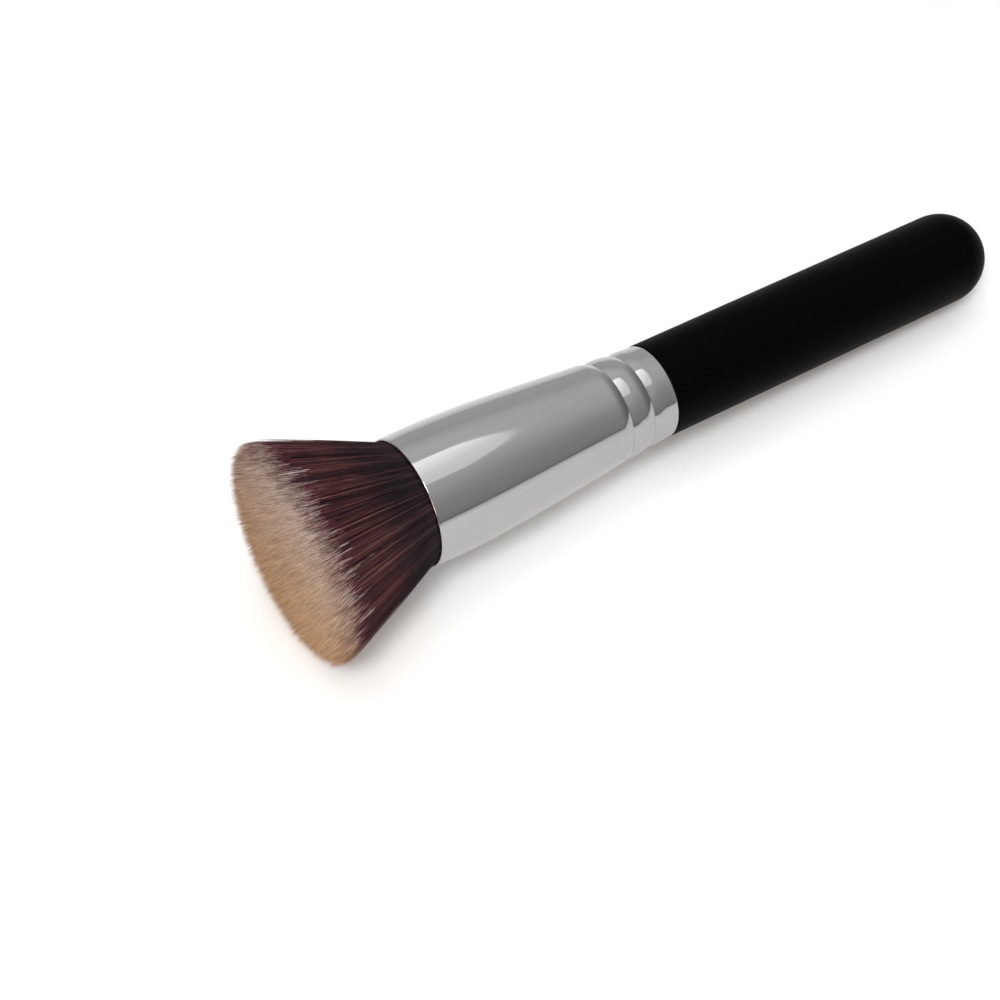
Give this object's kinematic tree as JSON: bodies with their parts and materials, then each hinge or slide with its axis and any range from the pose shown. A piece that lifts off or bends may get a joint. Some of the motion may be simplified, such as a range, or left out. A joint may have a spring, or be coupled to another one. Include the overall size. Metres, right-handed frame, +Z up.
{
  "type": "kabuki makeup brush",
  "caption": "Flat-top kabuki makeup brush lying on its side: flared two-tone tuft, polished tapered ferrule with two crimps, black round-ended handle.",
  "frame": {"origin": "on the table that the brush lies on, below the middle of its box", "axes": "+X along the table towards the handle's round end, +Z up, +Y to the side; the brush's own axis lies in the XZ plane and falls by 4.35 degrees towards +X, because the wide tuft lifts its end"},
  "size_m": [0.1502, 0.0388, 0.0383],
  "materials": {
    "handle": "matte black lacquer on turned wood",
    "ferrule": "polished and clear-coated",
    "filament": "two-tone synthetic filament, plum brown with tan tips",
    "resin": "cured amber resin",
    "thread": "twisted cotton",
    "glue": "cured clear glue"
  },
  "bodies": {
    "root": {"handle": "handle", "ferrule": "ferrule", "tuft": "filament", "root_plug": "resin", "binding_thread": "thread", "tenon_glue": "glue"}
  },
  "joints": []
}
